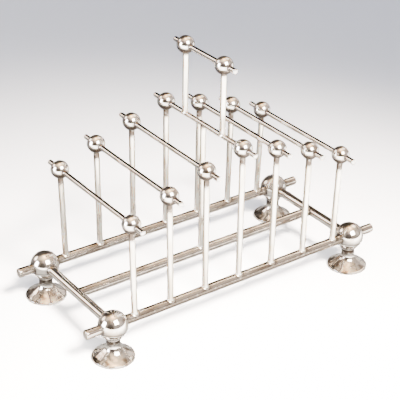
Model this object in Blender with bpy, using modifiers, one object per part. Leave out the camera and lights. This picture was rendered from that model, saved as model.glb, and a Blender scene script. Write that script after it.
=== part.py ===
"""Ball-and-rod toast rack: a free-standing frame of plated rods, joined through turned balls.

Seven partitions make six slots for toast. Each partition is two posts, a ball on top of each, and a
crossbar that runs through both balls. The posts stand on two side rails, and a carrying handle rises
from the middle crossbar. Nothing moves: every joint is a rod end coped to the rod that it stands on,
or seated in a bored ball, and soldered.

Frame: metres, +Z up. The origin is on the table, under the middle of the rack. X runs along the side
rails, Y along the crossbars. "left" is -X, "right" is +X, "front" is -Y and "back" is +Y.
"""

import math

import bmesh
import bpy
from mathutils import Vector

MM = 0.001

# ---- Driving dimensions -----------------------------------------------------------------------

# Base frame
RAIL_DIAMETER = 4.4 * MM          # side, end and middle rails are cut from one rod
RAIL_HEIGHT = 16.5 * MM           # rail centres above the table
CORNER_SPACING_X = 133.7 * MM     # corner ball centres, along the side rails
CORNER_SPACING_Y = 58.5 * MM      # corner ball centres, along the end rails
CORNER_BALL_DIAMETER = 13.3 * MM
RAIL_STUB = 14.0 * MM             # side rail past the corner ball's centre

# Partitions
ROW_COUNT = 7
TOP_PITCH = 19.0 * MM             # crossbar to crossbar
BASE_PITCH = 18.6 * MM            # post to post on the rail: the partitions splay a little
ROW_HEIGHTS = (62.8 * MM, 70.3 * MM, 76.4 * MM, 81.8 * MM)   # crossbar centres, end row to middle row
POST_DIAMETER = 2.7 * MM
POST_BALL_DIAMETER = 8.3 * MM
CROSSBAR_DIAMETER = 2.3 * MM
CROSSBAR_STUB = 9.2 * MM          # crossbar past the post ball's centre

# Handle
HANDLE_HEIGHT = 114.9 * MM        # handle bar's centre above the table
HANDLE_POST_SPACING = 28.3 * MM
HANDLE_POST_DIAMETER = 2.5 * MM
HANDLE_BALL_DIAMETER = 8.2 * MM
HANDLE_STUB = 8.4 * MM            # handle bar past the handle ball's centre

# Turned foot
FOOT_DIAMETER = 18.9 * MM
FOOT_RIM_HEIGHT = 1.0 * MM        # thin upright edge round the dish
FOOT_RIM_ROUND = 0.2 * MM
FOOT_RING_WIDTH = 1.2 * MM        # flat ring that stands on the table
FOOT_HOLLOW_DEPTH = 3.0 * MM      # underside, dished out by turning
NECK_DIAMETER = 6.2 * MM
NECK_FOOT_HEIGHT = 7.2 * MM       # where the neck starts to flare
FLARE_TURN = math.radians(48)     # the flare turns this far off the neck in a tight curve,
RIM_SLOPE = math.radians(30)      # and in a shallow one from there to this slope at the rim
COLLAR_DIAMETER = 7.2 * MM
COLLAR_THICKNESS = 0.8 * MM
SPIGOT_DIAMETER = 3.0 * MM        # stud on top of the foot, soldered up into the corner ball

# Fits and edges
GAP = 0.3 * MM                    # solder gap between a rod and what it sits in or on
BORE_LAP = 0.5 * MM               # how far a blind bore breaks into the bore that it meets
ROD_END_ROUND = 0.35 * MM         # filed edge on a rod end that shows

# Facets
THIN_ROD_SIDES = 12
RAIL_SIDES = 20
SMALL_BALL_STEPS = 16
CORNER_BALL_STEPS = 20
FOOT_STEPS = 20

# ---- Derived dimensions -----------------------------------------------------------------------

RAIL_R = RAIL_DIAMETER / 2
POST_R = POST_DIAMETER / 2
CROSSBAR_R = CROSSBAR_DIAMETER / 2
HANDLE_POST_R = HANDLE_POST_DIAMETER / 2
CORNER_BALL_R = CORNER_BALL_DIAMETER / 2
CORNER_X = CORNER_SPACING_X / 2
CORNER_Y = CORNER_SPACING_Y / 2
SIDE_RAIL_END = CORNER_X + RAIL_STUB
CROSSBAR_END = CORNER_Y + CROSSBAR_STUB
HANDLE_Y = HANDLE_POST_SPACING / 2
HANDLE_END = HANDLE_Y + HANDLE_STUB
MIDDLE_ROW = ROW_COUNT // 2
SIDES = {"front": -1, "back": 1}
ENDS = {"left": -1, "right": 1}

X_AXIS = Vector((1, 0, 0))
Y_AXIS = Vector((0, 1, 0))
Z_AXIS = Vector((0, 0, 1))


def row_height(row):
    """Height of a row's crossbar: the rows rise to the middle and fall again."""
    return ROW_HEIGHTS[min(row, ROW_COUNT - 1 - row)]


def row_top_x(row):
    return (row - MIDDLE_ROW) * TOP_PITCH


def row_base_x(row):
    return (row - MIDDLE_ROW) * BASE_PITCH


# ---- Scene helpers ----------------------------------------------------------------------------

def new_collection(name):
    collection = bpy.data.collections.new(name)
    bpy.context.scene.collection.children.link(collection)
    return collection


def silver_plate(name, colour, roughness):
    """Polished silver plate, as a metal with the warm grey of old silver."""
    material = bpy.data.materials.new(name)
    material.use_nodes = True
    shader = material.node_tree.nodes["Principled BSDF"]
    shader.inputs["Base Color"].default_value = (*colour, 1.0)
    shader.inputs["Metallic"].default_value = 1.0
    shader.inputs["Roughness"].default_value = roughness
    material.diffuse_color = (*colour, 1.0)
    return material


def add_part(name, mesh, material):
    mesh.name = name
    mesh.materials.append(material)
    part = bpy.data.objects.new(name, mesh)
    rack.objects.link(part)
    return part


def add_cutter(name, mesh):
    mesh.name = name
    cutter = bpy.data.objects.new(name, mesh)
    cutter.hide_render = True
    cutter.display_type = "WIRE"
    cutters.objects.link(cutter)
    return cutter


def cut(part, cutter):
    boolean = part.modifiers.new("cut by " + cutter.name, "BOOLEAN")
    boolean.operation = "DIFFERENCE"
    boolean.solver = "EXACT"
    boolean.object = cutter


# ---- Rods -------------------------------------------------------------------------------------

def rod_mesh(length, radius, sides):
    """A round rod along Z, centred on the origin."""
    mesh = bpy.data.meshes.new("rod")
    shape = bmesh.new()
    bmesh.ops.create_cone(shape, cap_ends=True, segments=sides, radius1=radius, radius2=radius, depth=length)
    shape.to_mesh(mesh)
    shape.free()
    mesh.shade_smooth()
    mesh.set_sharp_from_angle(angle=math.radians(40))
    return mesh


def lay_between(part, start, end):
    """Put an object that was made along Z on the line from start to end."""
    part.location = (start + end) / 2
    part.rotation_euler = (end - start).to_track_quat("Z", "Y").to_euler()
    return part


def add_rod(name, start, end, radius, sides, material):
    mesh = rod_mesh((end - start).length, radius, sides)
    return lay_between(add_part(name, mesh, material), start, end)


def add_rod_cutter(name, start, end, radius, sides):
    mesh = rod_mesh((end - start).length, radius, sides)
    return lay_between(add_cutter(name, mesh), start, end)


def round_ends(rod):
    """Round the edge of both flat ends, as a file leaves them."""
    bevel = rod.modifiers.new("filed ends", "BEVEL")
    bevel.width = ROD_END_ROUND
    bevel.segments = 2
    bevel.limit_method = "ANGLE"
    bevel.angle_limit = math.radians(60)


# ---- Turned pieces ----------------------------------------------------------------------------

def profile_mesh(points, closed):
    """An edge chain of (radius, height) points, ready to be turned about Z."""
    mesh = bpy.data.meshes.new("profile")
    edges = [(i, i + 1) for i in range(len(points) - 1)]
    if closed:
        edges.append((len(points) - 1, 0))
    mesh.from_pydata([(radius, 0, height) for radius, height in points], edges, [])
    return mesh


def turn(part, steps):
    screw = part.modifiers.new("turned", "SCREW")
    screw.axis = "Z"
    screw.steps = steps
    screw.render_steps = steps
    screw.use_merge_vertices = True
    screw.merge_threshold = 0.00001
    screw.use_smooth_shade = True


def bored_ball_profile(radius, bore_radius, arc_steps):
    """A ball with a through bore: down the outside, and back up the bore's wall."""
    mouth = math.asin(bore_radius / radius)
    sweep = math.pi - 2 * mouth
    angles = [mouth + sweep * i / arc_steps for i in range(arc_steps + 1)]
    return [(radius * math.sin(angle), radius * math.cos(angle)) for angle in angles]


def add_bored_ball(name, centre, bore_axis, diameter, rod_radius, steps, material):
    """A turned ball, bored right through along bore_axis for a rod."""
    profile = bored_ball_profile(diameter / 2, rod_radius + GAP, steps // 2)
    ball = add_part(name, profile_mesh(profile, closed=True), material)
    turn(ball, steps)
    ball.location = centre
    ball.rotation_euler = bore_axis.to_track_quat("Z", "Y").to_euler()
    return ball


def bore_blind(ball, centre, towards, ball_diameter, through_rod_radius, rod_radius, sides):
    """Bore the ball from one side only, as far as the bore that already goes through it."""
    direction = (towards - centre).normalized()
    inner = centre + direction * (through_rod_radius + GAP - BORE_LAP)
    outer = centre + direction * ball_diameter
    cutter = add_rod_cutter(ball.name + "_bore", inner, outer, rod_radius + GAP, sides)
    cut(ball, cutter)


def flare_points(neck_r, dish_r):
    """Trumpet from the neck to the rim: a tight arc, then a shallow one tangent to it."""
    reach = dish_r - neck_r
    drop = NECK_FOOT_HEIGHT - FOOT_RIM_HEIGHT
    turn_end = math.pi / 2 - RIM_SLOPE
    tight_out, tight_down = 1 - math.cos(FLARE_TURN), math.sin(FLARE_TURN)
    shallow_out = math.cos(FLARE_TURN) - math.cos(turn_end)
    shallow_down = math.sin(turn_end) - math.sin(FLARE_TURN)
    scale = tight_out * shallow_down - shallow_out * tight_down
    tight_r = (reach * shallow_down - drop * shallow_out) / scale
    shallow_r = (tight_out * drop - tight_down * reach) / scale

    arc_steps = 3
    points = []
    for i in range(arc_steps + 1):
        angle = FLARE_TURN * i / arc_steps
        points.append((neck_r + tight_r * (1 - math.cos(angle)),
                       NECK_FOOT_HEIGHT - tight_r * math.sin(angle)))
    join_r, join_height = points[-1]
    for i in range(1, arc_steps + 1):
        angle = FLARE_TURN + (turn_end - FLARE_TURN) * i / arc_steps
        points.append((join_r + shallow_r * (math.cos(FLARE_TURN) - math.cos(angle)),
                       join_height - shallow_r * (math.sin(angle) - math.sin(FLARE_TURN))))
    return points


def foot_profile():
    """Stud, cupped collar, neck, trumpet flare, thin rim, standing ring and dished underside."""
    spigot_r = SPIGOT_DIAMETER / 2
    collar_r = COLLAR_DIAMETER / 2
    neck_r = NECK_DIAMETER / 2
    rim_r = FOOT_DIAMETER / 2
    ring_r = rim_r - FOOT_RING_WIDTH
    cup_r = CORNER_BALL_R + GAP

    def cup_height(radius):
        return RAIL_HEIGHT - math.sqrt(cup_r ** 2 - radius ** 2)

    spigot_top = RAIL_HEIGHT - RAIL_R - GAP
    collar_top = cup_height(collar_r)
    collar_foot = collar_top - COLLAR_THICKNESS
    points = [(0, spigot_top), (spigot_r, spigot_top)]
    cup_steps = 2
    for i in range(cup_steps + 1):
        radius = spigot_r + (collar_r - spigot_r) * i / cup_steps
        points.append((radius, cup_height(radius)))
    points += [(collar_r, collar_foot), (neck_r, collar_foot - (collar_r - neck_r))]

    points += flare_points(neck_r, rim_r - FOOT_RIM_ROUND)
    points += [(rim_r, FOOT_RIM_HEIGHT - FOOT_RIM_ROUND), (rim_r, FOOT_RIM_ROUND),
               (rim_r - FOOT_RIM_ROUND, 0), (ring_r, 0)]
    hollow_steps = 3
    for i in range(1, hollow_steps + 1):
        angle = math.pi / 2 * i / hollow_steps
        points.append((ring_r * math.cos(angle), FOOT_HOLLOW_DEPTH * math.sin(angle)))
    points[-1] = (0, FOOT_HOLLOW_DEPTH)
    return points


# ---- The rack ---------------------------------------------------------------------------------

def build_base():
    """Feet, corner balls, and the five rails of the base frame."""
    side_rail_seats = {}
    for side, sy in SIDES.items():
        start = Vector((-SIDE_RAIL_END, sy * CORNER_Y, RAIL_HEIGHT))
        end = Vector((SIDE_RAIL_END, sy * CORNER_Y, RAIL_HEIGHT))
        round_ends(add_rod("side_rail_" + side, start, end, RAIL_R, RAIL_SIDES, rail_silver))
        side_rail_seats[side] = add_rod_cutter("side_rail_seat_" + side, start, end, RAIL_R + GAP, RAIL_SIDES)

    middle_end = Vector((CORNER_X, 0, RAIL_HEIGHT))
    middle_start = Vector((-CORNER_X, 0, RAIL_HEIGHT))
    middle_rail = add_rod("middle_rail", middle_start, middle_end, RAIL_R, RAIL_SIDES, rail_silver)
    middle_seat = add_rod_cutter("middle_rail_seat", middle_start, middle_end, RAIL_R + GAP, RAIL_SIDES)

    for end_name, sx in ENDS.items():
        reach = CORNER_Y - RAIL_R - GAP
        start = Vector((sx * CORNER_X, -reach, RAIL_HEIGHT))
        end = Vector((sx * CORNER_X, reach, RAIL_HEIGHT))
        add_rod("end_rail_" + end_name, start, end, RAIL_R, RAIL_SIDES, rail_silver)
        cut(middle_rail, add_rod_cutter("end_rail_seat_" + end_name, start, end, RAIL_R + GAP, RAIL_SIDES))

        for side, sy in SIDES.items():
            corner = end_name + "_" + side
            centre = Vector((sx * CORNER_X, sy * CORNER_Y, RAIL_HEIGHT))
            ball = add_bored_ball("corner_ball_" + corner, centre, X_AXIS, CORNER_BALL_DIAMETER,
                                  RAIL_R, CORNER_BALL_STEPS, ball_silver)
            bore_blind(ball, centre, centre - sy * Y_AXIS, CORNER_BALL_DIAMETER,
                       RAIL_R, RAIL_R, RAIL_SIDES)
            bore_blind(ball, centre, centre - Z_AXIS, CORNER_BALL_DIAMETER,
                       RAIL_R, SPIGOT_DIAMETER / 2, THIN_ROD_SIDES)
            foot = add_part("foot_" + corner, profile_mesh(foot_profile(), closed=False), foot_silver)
            turn(foot, FOOT_STEPS)
            foot.location = (centre.x, centre.y, 0)
    return side_rail_seats, middle_seat


def build_partition(row, side_rail_seats):
    """Two posts, their balls, and the crossbar through the balls."""
    number = str(row + 1)
    height = row_height(row)
    for side, sy in SIDES.items():
        base = Vector((row_base_x(row), sy * CORNER_Y, RAIL_HEIGHT))
        centre = Vector((row_top_x(row), sy * CORNER_Y, height))
        top = centre - (centre - base).normalized() * (CROSSBAR_R + GAP)
        post = add_rod("post_" + number + "_" + side, base, top, POST_R, THIN_ROD_SIDES, post_silver)
        cut(post, side_rail_seats[side])
        ball = add_bored_ball("post_ball_" + number + "_" + side, centre, Y_AXIS, POST_BALL_DIAMETER,
                              CROSSBAR_R, SMALL_BALL_STEPS, ball_silver)
        bore_blind(ball, centre, base, POST_BALL_DIAMETER, CROSSBAR_R, POST_R, THIN_ROD_SIDES)

    start = Vector((row_top_x(row), -CROSSBAR_END, height))
    end = Vector((row_top_x(row), CROSSBAR_END, height))
    round_ends(add_rod("crossbar_" + number, start, end, CROSSBAR_R, THIN_ROD_SIDES, bar_silver))


def build_centre_and_handle(middle_seat):
    """Centre post under the middle crossbar, and the carrying handle above it."""
    height = row_height(MIDDLE_ROW)
    crossbar_seat = add_rod_cutter("middle_crossbar_seat", Vector((0, -CROSSBAR_END, height)),
                                   Vector((0, CROSSBAR_END, height)), CROSSBAR_R + GAP, THIN_ROD_SIDES)
    centre_post = add_rod("centre_post", Vector((0, 0, RAIL_HEIGHT)), Vector((0, 0, height)),
                          POST_R, THIN_ROD_SIDES, post_silver)
    cut(centre_post, middle_seat)
    cut(centre_post, crossbar_seat)

    for side, sy in SIDES.items():
        base = Vector((0, sy * HANDLE_Y, height))
        centre = Vector((0, sy * HANDLE_Y, HANDLE_HEIGHT))
        top = centre - Z_AXIS * (CROSSBAR_R + GAP)
        post = add_rod("handle_post_" + side, base, top, HANDLE_POST_R, THIN_ROD_SIDES, post_silver)
        cut(post, crossbar_seat)
        ball = add_bored_ball("handle_ball_" + side, centre, Y_AXIS, HANDLE_BALL_DIAMETER,
                              CROSSBAR_R, SMALL_BALL_STEPS, ball_silver)
        bore_blind(ball, centre, base, HANDLE_BALL_DIAMETER, CROSSBAR_R, HANDLE_POST_R, THIN_ROD_SIDES)

    round_ends(add_rod("handle_bar", Vector((0, -HANDLE_END, HANDLE_HEIGHT)),
                       Vector((0, HANDLE_END, HANDLE_HEIGHT)), CROSSBAR_R, THIN_ROD_SIDES, bar_silver))


for old_object in list(bpy.data.objects):
    bpy.data.objects.remove(old_object, do_unlink=True)

rack = new_collection("toast_rack")
cutters = new_collection("toast_rack_cutters")

rail_silver = silver_plate("rail silver plate", (0.80, 0.76, 0.71), 0.12)
bar_silver = silver_plate("crossbar silver plate", (0.82, 0.79, 0.75), 0.12)
post_silver = silver_plate("post silver plate", (0.88, 0.85, 0.80), 0.15)
ball_silver = silver_plate("ball silver plate", (0.86, 0.82, 0.77), 0.08)
foot_silver = silver_plate("foot silver plate", (0.76, 0.70, 0.64), 0.10)

rail_seats, middle_rail_seat = build_base()
for row_index in range(ROW_COUNT):
    build_partition(row_index, rail_seats)
build_centre_and_handle(middle_rail_seat)
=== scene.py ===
import math

import bmesh
import bpy
from mathutils import Matrix, Vector


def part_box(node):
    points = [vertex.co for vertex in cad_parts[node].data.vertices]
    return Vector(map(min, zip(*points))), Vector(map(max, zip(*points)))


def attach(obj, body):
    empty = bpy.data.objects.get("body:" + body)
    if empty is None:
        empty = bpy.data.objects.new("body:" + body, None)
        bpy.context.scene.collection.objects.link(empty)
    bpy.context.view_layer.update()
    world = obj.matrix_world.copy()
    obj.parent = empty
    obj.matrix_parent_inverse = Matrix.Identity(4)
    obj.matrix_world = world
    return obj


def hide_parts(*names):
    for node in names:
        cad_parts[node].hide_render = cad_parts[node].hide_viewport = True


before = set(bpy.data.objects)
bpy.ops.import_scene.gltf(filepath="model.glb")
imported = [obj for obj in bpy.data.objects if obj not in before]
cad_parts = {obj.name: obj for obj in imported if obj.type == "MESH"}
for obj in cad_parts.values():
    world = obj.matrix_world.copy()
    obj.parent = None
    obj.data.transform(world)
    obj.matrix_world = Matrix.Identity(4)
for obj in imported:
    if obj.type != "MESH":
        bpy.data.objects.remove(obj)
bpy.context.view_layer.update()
bpy.ops.object.select_all(action="DESELECT")

# ---- Turned feet --------------------------------------------------------------------------------
# Four trumpet feet, cast in nickel silver, turned on a lathe and silver plated. Each stands on a narrow
# ring round a dished underside, and its stud is soldered up into the corner ball that its collar cups.

MM = 0.001
CORNERS = [(end, side) for end in ("left", "right") for side in ("front", "back")]

foot_low, foot_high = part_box("foot_left_front")
side_rail_low, side_rail_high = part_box("side_rail_front")
ball_low, ball_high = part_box("corner_ball_left_front")
rail_radius = (side_rail_high.z - side_rail_low.z) / 2
rail_height = (side_rail_high.z + side_rail_low.z) / 2
corner_ball_radius = ball_high.z - rail_height

FOOT_SIDES = 72
FOOT_RIM_TOP = 1.0 * MM
FOOT_RING_WIDTH = 1.2 * MM        # flat ring that stands on the table
FOOT_HOLLOW_DEPTH = 3.0 * MM
CENTRE_MARK = 0.4 * MM            # radius of the flat that the lathe centre leaves in the hollow
NECK_RADIUS = 3.1 * MM
NECK_FOOT = 7.2 * MM              # where the neck starts to flare
FLARE_TURN = math.radians(48)     # the flare leaves the neck in a tight curve of this much,
RIM_SLOPE = math.radians(30)      # then a shallow one down to this slope at the rim
COLLAR_RADIUS = 3.6 * MM
COLLAR_THICKNESS = 0.8 * MM
COLLAR_COVE = 0.35 * MM           # height over which the neck swells to the collar
RIM_EDGE = 0.25 * MM              # flat on top of the rim
RIM_BEVEL = 0.14 * MM
STUD_RADIUS = 1.5 * MM
FIT = 0.02 * MM                   # a soldered fit, with no gap to see


def pick_only(piece):
    """Makes one piece the only selected one, and the active one."""
    bpy.ops.object.select_all(action="DESELECT")
    piece.select_set(True)
    bpy.context.view_layer.objects.active = piece


def turn_rings(name, rings, sides, through_bore=False):
    """Turns a piece about Z. Each (radius, height) ring is extruded from the last one and scaled.

    The ends are capped, or with a through bore the last ring is joined back to the first.
    """
    radius, height = rings[0]
    bpy.ops.mesh.primitive_circle_add(vertices=sides, radius=radius, location=(0, 0, height),
                                      fill_type="NOTHING" if through_bore else "NGON")
    bpy.ops.object.transform_apply(location=True, rotation=False, scale=False)
    piece = bpy.context.object
    piece.name = piece.data.name = name
    bpy.ops.object.mode_set(mode="EDIT")
    bpy.ops.mesh.select_all(action="SELECT")
    for next_radius, next_height in rings[1:]:
        rise = {"value": (0, 0, next_height - height)}
        if through_bore:
            bpy.ops.mesh.extrude_edges_move(TRANSFORM_OT_translate=rise)
        else:
            bpy.ops.mesh.extrude_region_move(TRANSFORM_OT_translate=rise)
        grow = next_radius / radius
        bpy.ops.transform.resize(value=(grow, grow, 1), center_override=(0, 0, next_height))
        radius, height = next_radius, next_height
    if through_bore:
        bpy.ops.mesh.select_all(action="DESELECT")
        bpy.ops.mesh.select_non_manifold()
        bpy.ops.mesh.bridge_edge_loops()
    bpy.ops.mesh.select_all(action="SELECT")
    bpy.ops.mesh.remove_doubles(threshold=0.0001 * MM)
    bpy.ops.mesh.normals_make_consistent(inside=False)
    bpy.ops.object.mode_set(mode="OBJECT")
    return piece


def apply_modifier(piece, kind, **settings):
    """Adds one modifier with its settings and applies it."""
    pick_only(piece)
    modifier = piece.modifiers.new(kind, kind)
    for setting, value in settings.items():
        setattr(modifier, setting, value)
    bpy.ops.object.modifier_apply(modifier=modifier.name)


def smooth_and_mark(piece, sharp_angle):
    """Smooths the turned faces and notes each point's place on the lathe, for the turning marks."""
    pick_only(piece)
    bpy.ops.object.shade_smooth_by_angle(angle=math.radians(sharp_angle))
    places = piece.data.attributes.new("lathe_place", "FLOAT_VECTOR", "POINT")
    places.data.foreach_set("vector", [c for vertex in piece.data.vertices for c in vertex.co])


def lay_copy(pattern, name, place, turn=(0, 0, 0)):
    """A copy of a finished pattern with its own mesh, turned and moved, its object left at the origin."""
    piece = pattern.copy()
    piece.data = pattern.data.copy()
    piece.name = piece.data.name = name
    bpy.context.scene.collection.objects.link(piece)
    piece.rotation_euler = turn
    piece.location = place
    pick_only(piece)
    bpy.ops.object.transform_apply(location=True, rotation=True, scale=True)
    return piece


def drop_pattern(pattern):
    bpy.data.objects.remove(pattern, do_unlink=True)


def mark_soil_and_shade(piece, joints, underside_shade=None, side_band=None):
    """Notes on each point its soil, as a polishing cloth leaves it, or its painted shade: 1 is full, and
    more is past full.

    A joint is a (centre, radius, reach): full within the radius, fading to nothing past the reach.
    An underside is a (height, depth, strength) of painted shade: it grows to its strength over that depth
    below the height.
    A side band is a (height, half width, strength, half length): it is strongest at that height, as along a
    rod's side, and ends that far along X from the rack's middle.
    """
    soil_and_shade = [0.0] * len(piece.data.vertices)
    for vertex in piece.data.vertices:
        place = vertex.co
        amounts = [0.0]
        if underside_shade:
            height, depth, strength = underside_shade
            below = min(max((height - place.z) / depth, 0), 1)
            amounts.append(strength * below * below * (3 - 2 * below))
        if side_band:
            height, half_width, strength, half_length = side_band
            off_band = abs(place.z - height) / half_width
            if off_band < 1 and abs(place.x) < half_length:
                amounts.append(strength * (1 - off_band ** 2) ** 2)
        for centre, radius, reach in joints:
            past = max((place - centre).length - radius, 0.0)
            amounts.append(math.exp(-((past / reach) ** 2)))
        soil_and_shade[vertex.index] = max(amounts)
    note = piece.data.attributes.new("soil_and_painted_shade", "FLOAT", "POINT")
    note.data.foreach_set("value", soil_and_shade)


def flare_rings(rim_radius):
    """Trumpet from the rim up to the neck: a shallow arc, then a tight one tangent to it."""
    reach = rim_radius - NECK_RADIUS
    drop = NECK_FOOT - FOOT_RIM_TOP
    turn_end = math.pi / 2 - RIM_SLOPE
    tight_out, tight_down = 1 - math.cos(FLARE_TURN), math.sin(FLARE_TURN)
    shallow_out = math.cos(FLARE_TURN) - math.cos(turn_end)
    shallow_down = math.sin(turn_end) - math.sin(FLARE_TURN)
    scale = tight_out * shallow_down - shallow_out * tight_down
    tight_radius = (reach * shallow_down - drop * shallow_out) / scale
    shallow_radius = (tight_out * drop - tight_down * reach) / scale
    steps = 12
    rings = []
    for i in range(steps + 1):
        angle = FLARE_TURN * i / steps
        rings.append((NECK_RADIUS + tight_radius * (1 - math.cos(angle)),
                      NECK_FOOT - tight_radius * math.sin(angle)))
    join_radius, join_height = rings[-1]
    for i in range(1, steps + 1):
        angle = FLARE_TURN + (turn_end - FLARE_TURN) * i / steps
        rings.append((join_radius + shallow_radius * (math.cos(FLARE_TURN) - math.cos(angle)),
                      join_height - shallow_radius * (math.sin(angle) - math.sin(FLARE_TURN))))
    return rings[::-1]


def cup_height(radius):
    """Height of the ball's underside at this distance from the foot's axis."""
    return rail_height - math.sqrt((corner_ball_radius + FIT) ** 2 - radius ** 2)


foot_radius = (foot_high.x - foot_low.x) / 2
ring_radius = foot_radius - FOOT_RING_WIDTH
rings = []
hollow_steps = 10
for i in range(hollow_steps + 1):
    angle = math.pi / 2 * i / hollow_steps
    rings.append((max(ring_radius * math.sin(angle), CENTRE_MARK), FOOT_HOLLOW_DEPTH * math.cos(angle)))
rings += [(foot_radius, 0), (foot_radius, FOOT_RIM_TOP)]
rings += flare_rings(foot_radius - RIM_EDGE)
collar_top = cup_height(COLLAR_RADIUS)
collar_foot = collar_top - COLLAR_THICKNESS
rings += [(NECK_RADIUS, (NECK_FOOT + collar_foot) / 2), (NECK_RADIUS, collar_foot - COLLAR_COVE),
          (COLLAR_RADIUS, collar_foot), (COLLAR_RADIUS, collar_top)]
rings += [(radius, cup_height(radius)) for radius in (3.1 * MM, 2.6 * MM, 2.0 * MM, STUD_RADIUS)]
rings += [(STUD_RADIUS, foot_high.z), (0.4 * STUD_RADIUS, foot_high.z)]
foot = turn_rings("foot_pattern", rings, FOOT_SIDES)
apply_modifier(foot, "BEVEL", width=RIM_BEVEL, segments=3, limit_method="ANGLE",
               angle_limit=math.radians(38), use_clamp_overlap=True)
smooth_and_mark(foot, 35)


def linear(hex_colour):
    """The linear value of an sRGB hex colour."""
    channels = [int(hex_colour[i:i + 2], 16) / 255 for i in (0, 2, 4)]
    return [c / 12.92 if c <= 0.04045 else ((c + 0.055) / 1.055) ** 2.4 for c in channels] + [1.0]


def add_node(tree, kind, settings=(), **inputs):
    """Adds a node with its settings. An input is a value or the socket that it is linked from."""
    node = tree.nodes.new(kind)
    for setting, value in dict(settings).items():
        setattr(node, setting, value)
    for name, value in inputs.items():
        socket = node.inputs[int(name[1:])] if name[0] == "_" else node.inputs[name.replace("_", " ")]
        if isinstance(value, bpy.types.NodeSocket):
            tree.links.new(value, socket)
        else:
            socket.default_value = value
    return node


def silver_plate(name, bright, warm, soil_and_shade, roughness, patch_scale, mark_scale, mark_depth, wave_size,
                 wave_depth):
    """Old electroplated silver: bright, with warm patches of tarnish, and dull and dark where a cloth can't
    reach and where shade is painted.

    patch_scale and mark_scale are patches and marks a metre, across and along the lathe's axis. Sizes and
    depths are in metres.
    """
    material = bpy.data.materials.new(name)
    material.use_nodes = True
    tree = material.node_tree
    shader = tree.nodes["Principled BSDF"]
    shader.inputs["Metallic"].default_value = 1.0
    place = add_node(tree, "ShaderNodeTexCoord").outputs["Object"]
    lathe = add_node(tree, "ShaderNodeAttribute", {"attribute_name": "lathe_place"}).outputs["Vector"]
    soil_and_shade_note = add_node(tree, "ShaderNodeAttribute", {"attribute_name": "soil_and_painted_shade"}).outputs["Fac"]

    # Tarnish comes in patches, longer along a drawn rod. Each piece's own place shifts them, so that no two
    # pieces match. Soil and painted shade have a finer mottle, of 1.5 mm.
    drawn_out = add_node(tree, "ShaderNodeMapping", Vector=lathe, Scale=patch_scale)
    apart = add_node(tree, "ShaderNodeVectorMath", {"operation": "SCALE"}, _0=place, Scale=40.0)
    varied = add_node(tree, "ShaderNodeVectorMath", {"operation": "ADD"}, _0=drawn_out.outputs["Vector"],
                      _1=apart.outputs["Vector"])
    patch = add_node(tree, "ShaderNodeTexNoise", Vector=varied.outputs["Vector"], Scale=1.0, Detail=4.0,
                     Roughness=0.6)
    patches = add_node(tree, "ShaderNodeMapRange", {"interpolation_type": "SMOOTHSTEP"},
                       Value=patch.outputs["Fac"], From_Min=0.42, From_Max=0.68, To_Min=0.0, To_Max=1.0)
    mottle = add_node(tree, "ShaderNodeTexNoise", Vector=place, Scale=1 / (1.5 * MM), Detail=3.0)
    tint = add_node(tree, "ShaderNodeMix", {"data_type": "RGBA"}, _0=patches.outputs["Result"],
                    _6=linear(bright), _7=linear(warm))
    spread = add_node(tree, "ShaderNodeMapRange", Value=mottle.outputs["Fac"],
                      From_Min=0.3, From_Max=0.7, To_Min=0.7, To_Max=1.5)
    # The marked amount is soil at the joints and painted shade on ball undersides and crossbar tops: it
    # darkens the plate towards the soil colour
    soil_and_shade_amount = add_node(tree, "ShaderNodeMath", {"operation": "MULTIPLY", "use_clamp": True},
                    _0=soil_and_shade_note, _1=spread.outputs["Result"])
    colour = add_node(tree, "ShaderNodeMix", {"data_type": "RGBA"}, _0=soil_and_shade_amount.outputs["Value"],
                      _6=tint.outputs[2], _7=linear(soil_and_shade))
    tree.links.new(colour.outputs[2], shader.inputs["Base Color"])

    # The tool leaves a slight wave, which bends the reflections, and fine marks of the lathe or the draw
    # plate, which are drawn about four times as coarse as real ones, to show at all
    stretched = add_node(tree, "ShaderNodeMapping", Vector=lathe, Scale=mark_scale)
    marks = add_node(tree, "ShaderNodeTexNoise", Vector=stretched.outputs["Vector"], Scale=1.0, Detail=2.0)
    wave = add_node(tree, "ShaderNodeTexNoise", Vector=place, Scale=1 / wave_size, Detail=1.0)
    waved = add_node(tree, "ShaderNodeBump", Height=wave.outputs["Fac"], Distance=wave_depth, Strength=1.0)
    marked = add_node(tree, "ShaderNodeBump", Height=marks.outputs["Fac"], Distance=mark_depth, Strength=1.0,
                      Normal=waved.outputs["Normal"])
    tree.links.new(marked.outputs["Normal"], shader.inputs["Normal"])

    # Soil, and the painted shade marked with it, is matt: it adds up to 0.22 to the roughness, which
    # otherwise varies a little with the marks
    haze = add_node(tree, "ShaderNodeMapRange", Value=marks.outputs["Fac"],
                    From_Min=0.3, From_Max=0.7, To_Min=roughness * 0.8, To_Max=roughness * 1.25)
    dull = add_node(tree, "ShaderNodeMath", {"operation": "MULTIPLY_ADD"}, _0=soil_and_shade_amount.outputs["Value"], _1=0.22,
                    _2=haze.outputs["Result"])
    tree.links.new(dull.outputs["Value"], shader.inputs["Roughness"])
    return material


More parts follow.
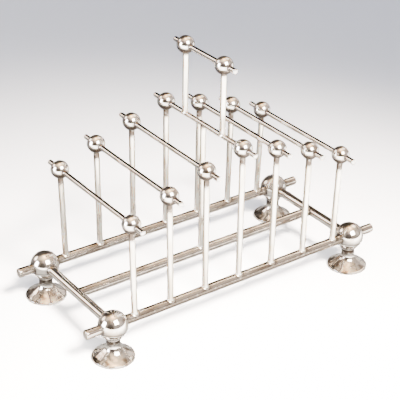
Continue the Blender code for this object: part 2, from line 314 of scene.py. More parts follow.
# Turned plate: the marks are close along the foot's axis and long round it, and deep brown patches and a
# wide wave of the tool make its reflections uneven
foot_plate = silver_plate("silver plate, turned feet", bright="F2ECE5", warm="998A7C", soil_and_shade="4A4038",
                          roughness=0.07, patch_scale=(190, 190, 190), mark_scale=(150, 150, 3000),
                          mark_depth=0.0006 * MM, wave_size=4.0 * MM, wave_depth=0.5 * MM)
foot.data.materials.append(foot_plate)
for end, side in CORNERS:
    node = "foot_" + end + "_" + side
    low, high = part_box(node)
    middle = (low + high) / 2
    piece = lay_copy(foot, "turned_" + node, (middle.x, middle.y, 0))
    mark_soil_and_shade(piece, [(Vector((middle.x, middle.y, rail_height)), corner_ball_radius, 0.25 * MM),
                        (Vector((middle.x, middle.y, collar_foot - 1.0 * MM)), NECK_RADIUS, 0.5 * MM)])
    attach(piece, "root")
    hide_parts(node)
drop_pattern(foot)

# ---- Corner balls -------------------------------------------------------------------------------
# Four solid balls turned in nickel silver and plated. The side rail runs right through each, and the
# end rail and the foot's stud are soldered into blind bores that meet it.

CORNER_BALL_SIDES = 72
CORNER_FILLET = 0.25 * MM


def solder_fillet(radius, size, crest_height, steps=5):
    """Rings (radius, height) of a concave solder fillet from the rod out to a face that is square to it."""
    rings = []
    for i in range(steps + 1):
        angle = math.pi / 2 * i / steps
        rings.append((radius + size * (1 - math.cos(angle)), crest_height + size * (1 - math.sin(angle))))
    return rings


def bored_ball(name, ball_radius, rod_radius, fillet, sides):
    """A ball on its rod: fillet, round to the far fillet, and back through the bore."""
    bore = rod_radius + FIT
    mouth = math.asin((bore + fillet) / ball_radius)
    lip = solder_fillet(bore, fillet, ball_radius * math.cos(mouth))
    steps = sides // 2
    sweep = math.pi - 2 * mouth
    angles = [mouth + sweep * i / steps for i in range(1, steps)]
    middle = [(ball_radius * math.sin(angle), ball_radius * math.cos(angle)) for angle in angles]
    far_lip = [(radius, -height) for radius, height in reversed(lip)]
    return turn_rings(name, lip + middle + far_lip, sides, through_bore=True)


def bore_blind(ball, direction, bore_radius, through_radius, ball_radius):
    """Bores the ball from one side only, into the bore that already goes through it."""
    depth = ball_radius * 1.5
    start = through_radius * 0.8
    bpy.ops.object.select_all(action="DESELECT")
    bpy.ops.mesh.primitive_cylinder_add(vertices=48, radius=bore_radius, depth=depth,
                                        location=direction * (start + depth / 2),
                                        rotation=direction.to_track_quat("Z", "Y").to_euler())
    drill = bpy.context.object
    apply_modifier(ball, "BOOLEAN", operation="DIFFERENCE", solver="EXACT", object=drill)
    drop_pattern(drill)


# The pattern is turned about Z, and a quarter turn makes that the side rail's X. Its +X bore then looks down
# on the foot's stud and its +Y bore looks inward, so a back ball is turned half round as well.
corner_ball = bored_ball("corner_ball_pattern", corner_ball_radius, rail_radius, CORNER_FILLET,
                         CORNER_BALL_SIDES)
bore_blind(corner_ball, Vector((1, 0, 0)), STUD_RADIUS + FIT, rail_radius, corner_ball_radius)
bore_blind(corner_ball, Vector((0, 1, 0)), rail_radius + FIT, rail_radius, corner_ball_radius)
smooth_and_mark(corner_ball, 35)

# Turned and buffed plate: near mirror, with soft warm patches of thin tarnish and faint rings from the lathe
ball_plate = silver_plate("silver plate, turned balls", bright="F3EEE8", warm="CBBCAC", soil_and_shade="564C45",
                          roughness=0.06, patch_scale=(200, 200, 200), mark_scale=(120, 120, 2600),
                          mark_depth=0.0004 * MM, wave_size=4 * MM, wave_depth=0.10 * MM)
corner_ball.data.materials.append(ball_plate)
for end, side in CORNERS:
    node = "corner_ball_" + end + "_" + side
    foot_low, foot_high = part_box("foot_" + end + "_" + side)
    centre = Vector(((foot_low.x + foot_high.x) / 2, (foot_low.y + foot_high.y) / 2, rail_height))
    half_turn = math.pi if side == "back" else 0
    piece = lay_copy(corner_ball, "turned_" + node, centre, (0, math.pi / 2, half_turn))
    inward = Vector((0, 1 if side == "front" else -1, 0))
    joints = [(centre + direction * corner_ball_radius, rail_radius, 0.7 * MM)
              for direction in (Vector((1, 0, 0)), Vector((-1, 0, 0)), inward)]
    # Painted shade: a dark band round the collar on the ball's underside, for the dark foot and shaded card
    # seen there
    joints.append((centre - Vector((0, 0, corner_ball_radius)), COLLAR_RADIUS + 0.3 * MM, 1.1 * MM))
    mark_soil_and_shade(piece, joints)
    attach(piece, "root")
    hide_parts(node)
drop_pattern(corner_ball)

# ---- Side rails ---------------------------------------------------------------------------------
# Two long rods of plated nickel silver wire, front and back. Each runs through both corner balls of its
# side and ends in a short stub with a filed, slightly domed end.

RAIL_SIDES = 48
RING_SPACING = 1.0 * MM           # rings along a rod, close enough to carry the dulling round each joint
RAIL_END_ROUND = 0.55 * MM


def ring_long_faces(rod):
    """Cuts the long faces of a rod into short rings."""
    pick_only(rod)
    bpy.ops.object.mode_set(mode="EDIT")
    mesh = bmesh.from_edit_mesh(rod.data)
    spans = sorted({(round(min(e.verts[0].co.z, e.verts[1].co.z), 7), round(e.calc_length(), 7))
                    for e in mesh.edges if abs(e.verts[0].co.z - e.verts[1].co.z) > 2 * RING_SPACING})
    for foot_height, length in spans:
        mesh = bmesh.from_edit_mesh(rod.data)
        for edge in mesh.edges:
            low = min(edge.verts[0].co.z, edge.verts[1].co.z)
            edge.select_set(abs(low - foot_height) < 1e-6 and abs(edge.calc_length() - length) < 1e-6)
        bmesh.update_edit_mesh(rod.data)
        cuts = max(1, round(length / RING_SPACING))
        bpy.ops.mesh.subdivide_edgering(number_cuts=cuts, interpolation="LINEAR")
        bpy.ops.mesh.select_all(action="DESELECT")
    bpy.ops.object.mode_set(mode="OBJECT")


def draw_rod(name, length, radius, sides, end_round):
    """A drawn rod about Z, centred, with filed and slightly domed ends."""
    dome = end_round * 0.35
    half = length / 2
    cap = [(radius * 0.12, half), (radius * 0.55, half - dome * 0.3), (radius - end_round, half - dome)]
    corner_steps = 5
    for i in range(1, corner_steps + 1):
        angle = math.pi / 2 * i / corner_steps
        cap.append((radius - end_round + end_round * math.sin(angle),
                    half - dome - end_round + end_round * math.cos(angle)))
    far_cap = [(ring_radius, -height) for ring_radius, height in cap]
    rod = turn_rings(name, far_cap + cap[::-1], sides)
    ring_long_faces(rod)
    smooth_and_mark(rod, 40)
    return rod


# Plate on drawn wire, greyer and browner than on the end rails, with tarnish in long streaks along the rod
rail_plate = silver_plate("silver plate, drawn rails", bright="CBC2B8", warm="978B7F", soil_and_shade="62584E",
                          roughness=0.08, patch_scale=(260, 260, 60), mark_scale=(2600, 2600, 60),
                          mark_depth=0.0006 * MM, wave_size=6 * MM, wave_depth=0.14 * MM)
RAIL_SIDE_DARKENING = {"front": 1.15, "back": 0.5}    # darkest along the front rail's sides
side_rail = draw_rod("side_rail_pattern", side_rail_high.x - side_rail_low.x, rail_radius, RAIL_SIDES,
                     RAIL_END_ROUND)
side_rail.data.materials.append(rail_plate)
for side in ("front", "back"):
    node = "side_rail_" + side
    low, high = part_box(node)
    piece = lay_copy(side_rail, "drawn_" + node, (low + high) / 2, (0, math.pi / 2, 0))
    joints = []
    for row in range(1, 8):
        post_low, post_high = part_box("post_" + str(row) + "_" + side)
        post_place = (post_low + post_high) / 2
        post_place.z = rail_height + rail_radius
        joints.append((post_place, 2.1 * MM, 0.5 * MM))
    for end in ("left", "right"):
        foot_low, foot_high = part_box("foot_" + end + "_" + side)
        ball_centre = (foot_low + foot_high) / 2
        ball_centre.z = rail_height
        joints.append((ball_centre, corner_ball_radius, 0.9 * MM))
    mark_soil_and_shade(piece, joints, side_band=(rail_height + 0.05 * rail_radius, 0.65 * rail_radius,
                                          RAIL_SIDE_DARKENING[side], ball_centre.x))
    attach(piece, "root")
    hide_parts(node)
drop_pattern(side_rail)

# ---- End rails ----------------------------------------------------------------------------------
# Two shorter lengths of the same rod, one at each end of the rack. Each is soldered into the blind bores
# of its two corner balls, with a small fillet of solder where it enters them.

END_RAIL_FILLET = 0.25 * MM


def seat_in_ball(rod_radius, fillet, ball_centre, ball_radius, rod_end):
    """Rings where a rod runs up into a ball: its fillet on the ball, then the plain end in the bore."""
    mouth = ball_centre - math.sqrt(ball_radius ** 2 - (rod_radius + fillet) ** 2)
    rings = [(radius, 2 * mouth - height) for radius, height in solder_fillet(rod_radius, fillet, mouth)]
    bore_mouth = ball_centre - math.sqrt(ball_radius ** 2 - rod_radius ** 2)
    return rings + [(rod_radius, max(bore_mouth, mouth + 0.02 * MM)), (rod_radius, rod_end),
                    (rod_radius * 0.3, rod_end)]


end_rail_low, end_rail_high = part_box("end_rail_left")
corner_y = (ball_low.y + corner_ball_radius) * -1
end_reach = (end_rail_high.y - end_rail_low.y) / 2
far_seat = seat_in_ball(rail_radius, END_RAIL_FILLET, corner_y, corner_ball_radius, end_reach)
near_seat = [(radius, -height) for radius, height in reversed(far_seat)]
end_rail = turn_rings("end_rail_pattern", near_seat + far_seat, RAIL_SIDES)
ring_long_faces(end_rail)
smooth_and_mark(end_rail, 40)

# The same wire with a lighter plate and paler streaks than the side rails
end_rail_plate = silver_plate("silver plate, drawn end rails", bright="E8E1D9", warm="BEB2A6", soil_and_shade="4A4038",
                              roughness=0.08, patch_scale=(260, 260, 60), mark_scale=(2600, 2600, 60),
                              mark_depth=0.0006 * MM, wave_size=6 * MM, wave_depth=0.10 * MM)
end_rail.data.materials.append(end_rail_plate)
for end in ("left", "right"):
    node = "end_rail_" + end
    low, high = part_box(node)
    middle = (low + high) / 2
    piece = lay_copy(end_rail, "drawn_" + node, middle, (-math.pi / 2, 0, 0))
    joints = [(Vector((middle.x, ball_y, rail_height)), corner_ball_radius, 0.9 * MM)
              for ball_y in (-corner_y, corner_y)]
    inward = 1 if end == "left" else -1
    joints.append((Vector((middle.x + inward * rail_radius, 0, rail_height)), rail_radius, 0.7 * MM))
    mark_soil_and_shade(piece, joints)
    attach(piece, "root")
    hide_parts(node)
drop_pattern(end_rail)

# ---- Middle rail --------------------------------------------------------------------------------
# One rod down the middle of the base, coped at both ends to sit round the end rails and soldered there.
# It carries the centre post.


def cope(rod, crest, seat_radius, across, ahead, fade=2.5 * MM):
    """Bends the rings near a rod's end to the round of the rod that it sits on.

    across is the axis (0 or 1) that crosses that rod. ahead is +1 at the rod's top end, or -1 at its foot.
    """
    for vertex in rod.data.vertices:
        past = abs(vertex.co.z - crest) / fade
        if past < 1:
            hold = 1 - past * past * (3 - 2 * past)
            off_axis = min(abs(vertex.co[across]), seat_radius)
            vertex.co.z += ahead * hold * (seat_radius - math.sqrt(seat_radius ** 2 - off_axis ** 2))


middle_low, middle_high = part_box("middle_rail")
end_rail_x = (end_rail_high.x + end_rail_low.x) / 2
half = abs(end_rail_x) - rail_radius - FIT
cap = [(rail_radius * share, half) for share in (0.15, 0.5, 0.8)] + [(rail_radius * 0.995, half)]
middle_rail = turn_rings("middle_rail_pattern", [(r, -z) for r, z in cap] + cap[::-1], RAIL_SIDES)
ring_long_faces(middle_rail)
cope(middle_rail, half, rail_radius, 0, 1)
cope(middle_rail, -half, rail_radius, 0, -1)
smooth_and_mark(middle_rail, 40)
middle_rail.data.materials.append(rail_plate)
piece = lay_copy(middle_rail, "drawn_middle_rail", (0, (middle_low.y + middle_high.y) / 2, rail_height),
                 (0, math.pi / 2, 0))
cope_x = half + rail_radius
joints = [(Vector((x, 0, rail_height)), rail_radius, 0.9 * MM) for x in (-cope_x, cope_x)]
joints.append((Vector((0, 0, rail_height + rail_radius)), 1.5 * MM, 0.5 * MM))
mark_soil_and_shade(piece, joints, side_band=(rail_height, 0.6 * rail_radius, 0.45, math.inf))
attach(piece, "root")
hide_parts("middle_rail")
drop_pattern(middle_rail)

# ---- Partition posts ----------------------------------------------------------------------------
# Fourteen thin posts of plated wire, two to a partition. Each foot is coped to the side rail and soldered
# with a bright fillet, and each top is soldered up into the blind bore of its ball, and is darker for a few
# millimetres below it.

POST_SIDES = 40
POST_FILLET = 0.6 * MM
POST_TOP_FILLET = 0.2 * MM

post_low, post_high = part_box("post_4_front")
post_radius = (post_high.y - post_low.y) / 2
bar_low, bar_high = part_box("crossbar_4")
crossbar_radius = (bar_high.z - bar_low.z) / 2
post_ball_low, post_ball_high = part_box("post_ball_4_front")
post_ball_radius = (post_ball_high.x - post_ball_low.x) / 2


def raise_post(name, radius, fillet, top_fillet, length, ball_radius, seat_radius, seat_across):
    """A post about Z that stands on a rod's crest at height 0 and runs up into a ball at its length."""
    rings = [(radius * 0.2, 0), (radius * 0.6, 0), (radius, 0)]
    rings += solder_fillet(radius, fillet, 0)[::-1]
    rings += seat_in_ball(radius, top_fillet, length, ball_radius, length - crossbar_radius - FIT)
    post = turn_rings(name, rings, POST_SIDES)
    ring_long_faces(post)
    cope(post, 0, seat_radius, seat_across, -1)
    return post


# The whitest plate, a little satin from toast and cloths, with cream streaks of tarnish along the wire
post_plate = silver_plate("silver plate, drawn posts", bright="FFF9EE", warm="E0D1BA", soil_and_shade="584D44",
                          roughness=0.13, patch_scale=(420, 420, 70), mark_scale=(3200, 3200, 80),
                          mark_depth=0.0004 * MM, wave_size=6 * MM, wave_depth=0.05 * MM)
for row in range(1, 8):
    bar_low, bar_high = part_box("crossbar_" + str(row))
    top = Vector(((bar_low.x + bar_high.x) / 2, 0, (bar_low.z + bar_high.z) / 2))
    crest = rail_height + rail_radius
    post = raise_post("post_pattern", post_radius, POST_FILLET, POST_TOP_FILLET, top.z - crest,
                      post_ball_radius, rail_radius + FIT, 1)
    low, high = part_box("post_" + str(row) + "_front")
    foot_x = low.x + high.x - top.x
    slant = Matrix.Identity(4)        # the partitions splay along X, so a post leans
    slant[0][2] = (top.x - foot_x) / (top.z - crest)
    smooth_and_mark(post, 40)
    post.data.transform(slant)
    post.data.materials.append(post_plate)
    for side in ("front", "back"):
        node = "post_" + str(row) + "_" + side
        low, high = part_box(node)
        y = (low.y + high.y) / 2
        piece = lay_copy(post, "drawn_" + node, (foot_x, y, crest))
        mark_soil_and_shade(piece, [(Vector((top.x, y, top.z)), post_ball_radius + 2.0 * MM, 1.6 * MM)])
        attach(piece, "root")
        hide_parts(node)
    drop_pattern(post)

# ---- Post balls ---------------------------------------------------------------------------------
# Fourteen small turned balls, one on each post. The crossbar runs through the ball and the post stands
# in a blind bore from below.

POST_BALL_SIDES = 56
POST_BALL_FILLET = 0.18 * MM

# Turned about Z, which becomes the crossbar's Y: the pattern's +Y then looks down
post_ball = bored_ball("post_ball_pattern", post_ball_radius, crossbar_radius, POST_BALL_FILLET,
                       POST_BALL_SIDES)
bore_blind(post_ball, Vector((0, 1, 0)), post_radius + 2 * FIT, crossbar_radius, post_ball_radius)
smooth_and_mark(post_ball, 35)
post_ball.data.materials.append(ball_plate)
for row in range(1, 8):
    bar_low, bar_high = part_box("crossbar_" + str(row))
    for side in ("front", "back"):
        node = "post_ball_" + str(row) + "_" + side
        low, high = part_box(node)
        centre = Vector(((bar_low.x + bar_high.x) / 2, (low.y + high.y) / 2, (bar_low.z + bar_high.z) / 2))
        piece = lay_copy(post_ball, "turned_" + node, centre, (-math.pi / 2, 0, 0))
        joints = [(centre + Vector((0, direction * post_ball_radius, 0)), crossbar_radius, 0.6 * MM)
                  for direction in (-1, 1)]
        joints.append((centre - Vector((0, 0, post_ball_radius)), post_radius, 1.3 * MM))
        # Soil where the crossbar and post enter, and painted shade over the lower half of the ball
        mark_soil_and_shade(piece, joints, (centre.z, 0.3 * post_ball_radius, 1.1))
        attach(piece, "root")
        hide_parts(node)
drop_pattern(post_ball)

# ---- Crossbars ----------------------------------------------------------------------------------
# Seven thin rods, one to a partition, that hold the toast upright. Each runs through the two balls of its
# partition and ends in a short stub on either side.

CROSSBAR_SIDES = 40
CROSSBAR_END_ROUND = 0.35 * MM
BAR_TOP_PAINTED_SHADE = 0.7                # painted shade along the top, a painted reflection of the dark room

bar_low, bar_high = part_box("crossbar_1")
crossbar = draw_rod("crossbar_pattern", bar_high.y - bar_low.y, crossbar_radius, CROSSBAR_SIDES,
                    CROSSBAR_END_ROUND)

# Bright plate on fine wire, so that each reflection is one sharp line, over faint marks of the draw plate
crossbar_plate = silver_plate("silver plate, drawn crossbars", bright="F0EAE4", warm="CCC0B4", soil_and_shade="5A4E44",
                              roughness=0.06, patch_scale=(300, 300, 60), mark_scale=(3200, 3200, 80),
                              mark_depth=0.0005 * MM, wave_size=9 * MM, wave_depth=0.05 * MM)
crossbar.data.materials.append(crossbar_plate)
for row in range(1, 8):
    node = "crossbar_" + str(row)
    low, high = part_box(node)
    middle = (low + high) / 2
    piece = lay_copy(crossbar, "drawn_" + node, middle, (-math.pi / 2, 0, 0))
    joints = []
    for side in ("front", "back"):
        ball_low, ball_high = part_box("post_ball_" + str(row) + "_" + side)
        ball_centre = Vector((middle.x, (ball_low.y + ball_high.y) / 2, middle.z))
        joints.append((ball_centre, post_ball_radius, 0.8 * MM))
    # Soil where the bar enters each ball, and painted shade along its top
    mark_soil_and_shade(piece, joints, side_band=(high.z, 0.5 * crossbar_radius, BAR_TOP_PAINTED_SHADE, math.inf))
    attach(piece, "root")
    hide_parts(node)
drop_pattern(crossbar)

# ---- Centre post --------------------------------------------------------------------------------
# One post from the middle rail up to the middle crossbar, coped at both ends and soldered. It takes the
# pull of the carrying handle.

middle_bar_low, middle_bar_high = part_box("crossbar_4")
middle_bar_height = (middle_bar_low.z + middle_bar_high.z) / 2
centre_crest = rail_height + rail_radius
centre_length = middle_bar_height - crossbar_radius - centre_crest
rings = [(post_radius * share, 0) for share in (0.2, 0.6, 1.0)]
rings += solder_fillet(post_radius, POST_FILLET, 0)[::-1]
rings += [(post_radius, centre_length - 1.2 * MM)]
rings += [(post_radius * share, centre_length) for share in (1.0, 0.8, 0.5, 0.2)]
centre_post = turn_rings("centre_post_pattern", rings, POST_SIDES)
ring_long_faces(centre_post)
cope(centre_post, 0, rail_radius + FIT, 1, -1)
cope(centre_post, centre_length, crossbar_radius + FIT, 0, 1, fade=1.0 * MM)
smooth_and_mark(centre_post, 40)
centre_post.data.materials.append(post_plate)
piece = lay_copy(centre_post, "drawn_centre_post", (0, 0, centre_crest))
mark_soil_and_shade(piece, [(Vector((0, 0, middle_bar_height)), 1.4 * MM, 0.9 * MM)])
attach(piece, "root")
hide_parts("centre_post")
drop_pattern(centre_post)

# ---- Carrying handle ----------------------------------------------------------------------------
# Two thin posts rise from the middle crossbar to a ball each, and a short rod runs through both balls as
# the grip. All of it is plated wire and turned balls, soldered as in the partitions.

handle_low, handle_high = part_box("handle_bar")
handle_height = (handle_low.z + handle_high.z) / 2
handle_post_low, handle_post_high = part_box("handle_post_front")
handle_post_radius = (handle_post_high.x - handle_post_low.x) / 2
handle_ball_low, handle_ball_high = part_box("handle_ball_front")
handle_ball_radius = (handle_ball_high.x - handle_ball_low.x) / 2
HANDLE_FILLET = 0.5 * MM

handle_crest = middle_bar_height + crossbar_radius
handle_post = raise_post("handle_post_pattern", handle_post_radius, HANDLE_FILLET, POST_TOP_FILLET,
                         handle_height - handle_crest, handle_ball_radius, crossbar_radius + FIT, 0)
smooth_and_mark(handle_post, 40)
handle_post.data.materials.append(post_plate)
handle_ball = bored_ball("handle_ball_pattern", handle_ball_radius, crossbar_radius, POST_BALL_FILLET,
                         POST_BALL_SIDES)
bore_blind(handle_ball, Vector((0, 1, 0)), handle_post_radius + FIT, crossbar_radius, handle_ball_radius)
smooth_and_mark(handle_ball, 35)
handle_ball.data.materials.append(ball_plate)
ball_joints = []
for side in ("front", "back"):
    node = "handle_post_" + side
    low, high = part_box(node)
    y = (low.y + high.y) / 2
    ball_centre = Vector((0, y, handle_height))
    ball_joints.append((ball_centre, handle_ball_radius, 0.8 * MM))
    piece = lay_copy(handle_post, "drawn_" + node, (0, y, handle_crest))
    mark_soil_and_shade(piece, [ball_joints[-1]])
    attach(piece, "root")
    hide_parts(node)

    piece = lay_copy(handle_ball, "turned_handle_ball_" + side, ball_centre, (-math.pi / 2, 0, 0))
    joints = [(ball_centre + direction * handle_ball_radius, crossbar_radius, 0.6 * MM)
              for direction in (Vector((0, 1, 0)), Vector((0, -1, 0)), Vector((0, 0, -1)))]
    # Soil where the rods enter, and painted shade over the lower half of the ball
    mark_soil_and_shade(piece, joints, (handle_height, 0.3 * handle_ball_radius, 1.0))
    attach(piece, "root")
    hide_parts("handle_ball_" + side)
drop_pattern(handle_post)
drop_pattern(handle_ball)

handle_bar = draw_rod("handle_bar_pattern", handle_high.y - handle_low.y, crossbar_radius, CROSSBAR_SIDES,
                      CROSSBAR_END_ROUND)
handle_bar.data.materials.append(crossbar_plate)
piece = lay_copy(handle_bar, "drawn_handle_bar", (handle_low + handle_high) / 2, (-math.pi / 2, 0, 0))
# Soil where the bar enters each ball, and painted shade along its top
mark_soil_and_shade(piece, ball_joints, side_band=(handle_high.z, 0.5 * crossbar_radius, BAR_TOP_PAINTED_SHADE,
                                           math.inf))
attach(piece, "root")
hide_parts("handle_bar")
drop_pattern(handle_bar)

# ---- Floor --------------------------------------------------------------------------------------
# A wide sheet of pale matt card that the rack stands on. The silver sees a second, glowing sheet in the same
# place,
# with painted light and shade: white in front of the rack, and greyer under it and behind, so that the plate
# keeps its darks.


def lay_card(name, material):
    """A round sheet of card, 12 m across, so that its edge is never in view."""
    bpy.ops.object.select_all(action="DESELECT")
    bpy.ops.mesh.primitive_circle_add(vertices=96, radius=6.0, fill_type="NGON", location=(0, 0, 0))
    card = bpy.context.object
    card.name = card.data.name = name
    bpy.ops.object.mode_set(mode="EDIT")
    bpy.ops.mesh.select_all(action="SELECT")
    bpy.ops.mesh.inset(thickness=4.0)
    bpy.ops.object.mode_set(mode="OBJECT")
    card.data.materials.append(material)
    return card


matt_card = bpy.data.materials.new("matt pale card")
matt_card.use_nodes = True
card_shader = matt_card.node_tree.nodes["Principled BSDF"]
card_shader.inputs["Roughness"].default_value = 0.8
card_shader.inputs["Specular IOR Level"].default_value = 0.1
card_place = add_node(matt_card.node_tree, "ShaderNodeTexCoord").outputs["Object"]
tooth = add_node(matt_card.node_tree, "ShaderNodeTexNoise", Vector=card_place, Scale=1 / (2 * MM),
                 Detail=3.0)
card_tint = add_node(matt_card.node_tree, "ShaderNodeMix", {"data_type": "RGBA"}, _0=tooth.outputs["Fac"],
                     _6=linear("BBBBBD"), _7=linear("BFBFC1"))
matt_card.node_tree.links.new(card_tint.outputs[2], card_shader.inputs["Base Color"])
floor = lay_card("card_floor", matt_card)
floor.visible_glossy = False

# How bright that second sheet glows, by its distance ahead of the rack's middle: painted light in front,
# painted shade under and behind the rack. It runs out to the left as well, since a point past the left feet
# counts as further ahead.
CARD_BACK, CARD_FRONT = -200 * MM, 120 * MM
DIMMEST, BRIGHTEST = (0.38, 0.36, 0.35, 1), (12.0, 11.6, 11.0, 1)
CARD_LEVELS = ((-90 * MM, 0.5), (-50 * MM, 0.8), (-20 * MM, 1.2), (39 * MM, 1.5), (48 * MM, 3.0),
               (60 * MM, 7.0), (80 * MM, 11.0))
LEFT_START, LEFT_GAIN = 31 * MM, 0.5

# Round each foot it has a painted highlight under the rim, painted shade just outside that, and is as
# elsewhere from 20 mm out
FOOT_SHADE_REACH = 20 * MM
RIM_GLOW, RIM_GLOW_END = 2.2, 10.6 * MM
FOOT_SHADE, FOOT_SHADE_PLACE = 0.35, 12.4 * MM

glowing_card_reflection = bpy.data.materials.new("glowing card of painted light and shade")
glowing_card_reflection.use_nodes = True
tree = glowing_card_reflection.node_tree
place = add_node(tree, "ShaderNodeTexCoord").outputs["Object"]
parts = add_node(tree, "ShaderNodeSeparateXYZ", Vector=place)
leftward = add_node(tree, "ShaderNodeMath", {"operation": "MULTIPLY_ADD"}, _0=parts.outputs["X"],
                    _1=-LEFT_GAIN, _2=-LEFT_START)
beside = add_node(tree, "ShaderNodeMath", {"operation": "MAXIMUM"}, _0=leftward.outputs["Value"], _1=0.0)
ahead = add_node(tree, "ShaderNodeMath", {"operation": "SUBTRACT"}, _0=beside.outputs["Value"],
                 _1=parts.outputs["Y"])
share = add_node(tree, "ShaderNodeMapRange", Value=ahead.outputs["Value"], From_Min=CARD_BACK,
                 From_Max=CARD_FRONT)
fade = add_node(tree, "ShaderNodeValToRGB", Fac=share.outputs["Result"])
fade.color_ramp.elements[0].color = DIMMEST
fade.color_ramp.elements[1].color = BRIGHTEST
for distance, level in CARD_LEVELS:
    place_on_ramp = (distance - CARD_BACK) / (CARD_FRONT - CARD_BACK)
    fade.color_ramp.elements.new(place_on_ramp).color = (level, level * 0.93, level * 0.84, 1)
brightness = 1.0
for end, side in CORNERS:
    low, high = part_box("foot_" + end + "_" + side)
    foot_place = ((low.x + high.x) / 2, (low.y + high.y) / 2, 0)
    from_foot = add_node(tree, "ShaderNodeVectorMath", {"operation": "DISTANCE"}, _0=place, _1=foot_place)
    outward = add_node(tree, "ShaderNodeMapRange", Value=from_foot.outputs["Value"], From_Min=0.0,
                       From_Max=FOOT_SHADE_REACH)
    shaded = add_node(tree, "ShaderNodeValToRGB", Fac=outward.outputs["Result"])
    shades = shaded.color_ramp.elements
    shades[0].position = RIM_GLOW_END / FOOT_SHADE_REACH
    shades[0].color = (RIM_GLOW, RIM_GLOW, RIM_GLOW, 1)
    shades[1].color = (1, 1, 1, 1)
    shades.new(FOOT_SHADE_PLACE / FOOT_SHADE_REACH).color = (FOOT_SHADE, FOOT_SHADE, FOOT_SHADE, 1)
    brightness = add_node(tree, "ShaderNodeMath", {"operation": "MULTIPLY"}, _0=brightness,
                          _1=shaded.outputs["Color"]).outputs["Value"]
# The sheet's glow is painted light and shade, seen only in the silver
glow = add_node(tree, "ShaderNodeEmission", Color=fade.outputs["Color"], Strength=brightness)
tree.links.new(glow.outputs["Emission"], tree.nodes["Material Output"].inputs["Surface"])
painted_floor_reflection = lay_card("glowing_card_painted_light", glowing_card_reflection)
painted_floor_reflection.visible_camera = painted_floor_reflection.visible_diffuse = painted_floor_reflection.visible_shadow = False

# ---- Light --------------------------------------------------------------------------------------
# A warm room of soft light, a cool softbox on the left and a warm lamp in front on the right, all seen only
# in the silver. The card has lamps of its own, which make it white near the rack and grey behind it.

world = bpy.data.worlds.new("soft room")
bpy.context.scene.world = world
world.use_nodes = True
world.cycles_visibility.diffuse = False
room = world.node_tree
look = add_node(room, "ShaderNodeTexCoord").outputs["Generated"]
split = add_node(room, "ShaderNodeSeparateXYZ", Vector=look)
rise = add_node(room, "ShaderNodeValToRGB", Fac=split.outputs["Z"])
ramp = rise.color_ramp
ramp.elements[0].color = (0.60, 0.52, 0.46, 1)
ramp.elements[1].color = (9.0, 5.6, 2.6, 1)
ROOM_LEVELS = ((0.42, (0.80, 0.68, 0.59, 1)), (0.64, (0.95, 0.79, 0.66, 1)), (0.79, (1.25, 1.02, 0.78, 1)),
               (0.92, (2.3, 1.7, 1.1, 1)), (0.985, (5.2, 3.5, 2.0, 1)))
for height, colour in ROOM_LEVELS:
    ramp.elements.new(height).color = colour
shade = rise.outputs["Color"]


def towards(azimuth, elevation):
    """A direction from the rack: azimuth runs from the front towards the right, both in degrees."""
    azimuth, elevation = math.radians(azimuth), math.radians(elevation)
    return Vector((math.sin(azimuth) * math.cos(elevation), -math.cos(azimuth) * math.cos(elevation),
                   math.sin(elevation)))


# Soft patches of the room, as (azimuth, elevation, half width in degrees, gain). A gain under 1 is a dim one
for azimuth, elevation, spread, gain in (
        (163, 37, 50, 0.13),      # dim far corner
        (-50, 15, 34, 0.25),      # unlit front left of the room
        (-80, 46, 20, 0.50),      # and above it
        (-146, 28, 14, 14.0),     # bright window at the back
        (-137, -2, 20, 0.40),     # dim wall under that window
        (108, 50, 17, 6.0),       # window strip high on the right
        (106, 15, 16, 2.2),       # pale wall under it
        (40, 24, 22, 1.5),        # pale wall at the front right
        (150, 72, 20, 2.0)):      # ceiling at the back right
    facing = add_node(room, "ShaderNodeVectorMath", {"operation": "DOT_PRODUCT"}, _0=look,
                      _1=towards(azimuth, elevation))
    patch = add_node(room, "ShaderNodeMapRange", {"interpolation_type": "SMOOTHSTEP"},
                     Value=facing.outputs["Value"], From_Min=math.cos(math.radians(spread)),
                     From_Max=math.cos(math.radians(spread * 0.4)), To_Min=1.0, To_Max=gain)
    shade = add_node(room, "ShaderNodeVectorMath", {"operation": "SCALE"}, _0=shade,
                     Scale=patch.outputs["Result"]).outputs["Vector"]
room.links.new(shade, room.nodes["Background"].inputs["Color"])


def hang_lamp(name, kind, place, aim, power, colour, for_silver, **shape):
    """A lamp at a place, aimed at a point. It lights either the silver or the card, never both."""
    facing = (place - aim).to_track_quat("Z", "Y").to_euler()
    bpy.ops.object.light_add(type=kind, location=place, rotation=facing)
    lamp = bpy.context.object
    lamp.name = lamp.data.name = name
    lamp.data.energy = power
    lamp.data.color = linear(colour)[:3]
    for setting, value in shape.items():
        setattr(lamp.data, setting, value)
    lamp.visible_glossy = for_silver
    lamp.visible_diffuse = not for_silver
    lamp.visible_camera = False


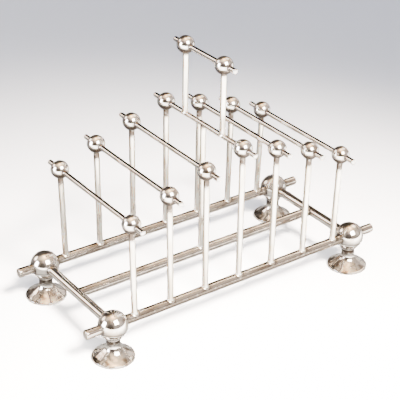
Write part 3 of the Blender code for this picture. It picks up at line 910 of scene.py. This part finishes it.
rack_middle = Vector((0, 0, 50 * MM))
CARD_WHITE_PLACE = Vector((-71, -97, 0)) * MM      # the card is whitest at the front left
hang_lamp("left softbox", "AREA", rack_middle + towards(-104, 15) * 1.2, rack_middle, 36, "F2F4FF", True,
          shape="RECTANGLE", size=0.52, size_y=0.72)
hang_lamp("front right lamp", "AREA", rack_middle + towards(1, 44) * 1.2, rack_middle, 44, "FFFAF2", True,
          shape="RECTANGLE", size=0.66, size_y=0.66)
hang_lamp("card wash", "AREA", CARD_WHITE_PLACE + Vector((0, 0, 200 * MM)), CARD_WHITE_PLACE, 3, "FFFCF7",
          False, shape="DISK", size=0.15, use_shadow=False)
hang_lamp("card front lamp", "SPOT", towards(2, 44) * 0.9, Vector((-25, -165, 0)) * MM, 4600, "FFF1E4",
          False, shadow_soft_size=0.22, spot_size=math.radians(22), spot_blend=1.0)
hang_lamp("card left lamp", "AREA", rack_middle + towards(-104, 22) * 1.0, rack_middle, 22, "FFF6E8", False,
          shape="DISK", size=0.3)
hang_lamp("card fill", "AREA", Vector((0.3, 0.4, 1.6)), Vector((0, 0, 0)), 50, "E2E8FF", False,
          shape="DISK", size=1.6)

# ---- Camera -------------------------------------------------------------------------------------
# Stands at the front left and looks down across the rack, with a slight roll as held by hand.

AZIMUTH = math.radians(-36.1)
ELEVATION = math.radians(29.04)
ROLL = math.radians(1.12)
DISTANCE = 574.8 * MM
AIM = Vector((-0.7, 0.3, 43.2)) * MM

camera_data = bpy.data.cameras.new("camera")
camera = bpy.data.objects.new("camera", camera_data)
bpy.context.scene.collection.objects.link(camera)
camera_data.sensor_width = 36.0
camera_data.lens = 112.7
camera_data.clip_start = 0.01
back = Vector((math.sin(AZIMUTH) * math.cos(ELEVATION), -math.cos(AZIMUTH) * math.cos(ELEVATION),
               math.sin(ELEVATION)))
right = (-back).cross(Vector((0, 0, 1))).normalized()
up = right.cross(-back)
rolled_right = right * math.cos(ROLL) + up * math.sin(ROLL)
rolled_up = up * math.cos(ROLL) - right * math.sin(ROLL)
placed = Matrix.Identity(4)
for i in range(3):
    placed[i] = (rolled_right[i], rolled_up[i], back[i], (AIM + back * DISTANCE)[i])
camera.matrix_world = placed
bpy.context.scene.camera = camera
